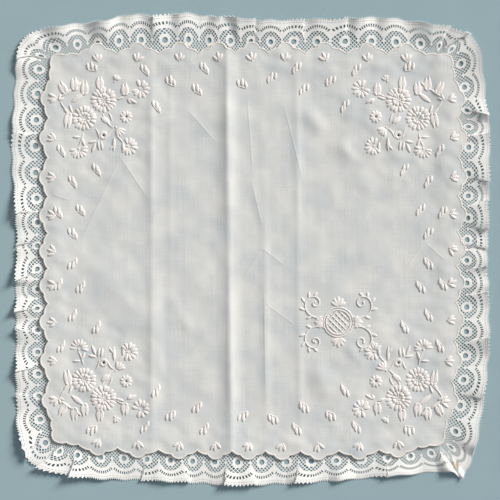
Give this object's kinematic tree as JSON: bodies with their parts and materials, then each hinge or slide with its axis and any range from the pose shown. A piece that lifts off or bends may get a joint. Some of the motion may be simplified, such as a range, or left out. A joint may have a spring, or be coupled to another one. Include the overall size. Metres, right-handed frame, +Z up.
{
  "type": "lace-edged linen handkerchief",
  "caption": "Square linen handkerchief with a lobed edge, white embroidery and a gathered lace frill all round, lying flat.",
  "frame": {"origin": "on the surface it lies on, below the middle of the whole", "axes": "+Z up from the surface, +Y towards the top edge of the picture, +X towards its right edge"},
  "size_m": [0.3365, 0.3321, 0.0057],
  "materials": {
    "linen": "plain fine weave, slightly sheer",
    "lace": "openwork cotton lace",
    "embroidery": "raised satin stitch in cotton thread"
  },
  "bodies": {
    "root": {"linen_square": "linen", "lace_frill": "lace"}
  },
  "joints": []
}
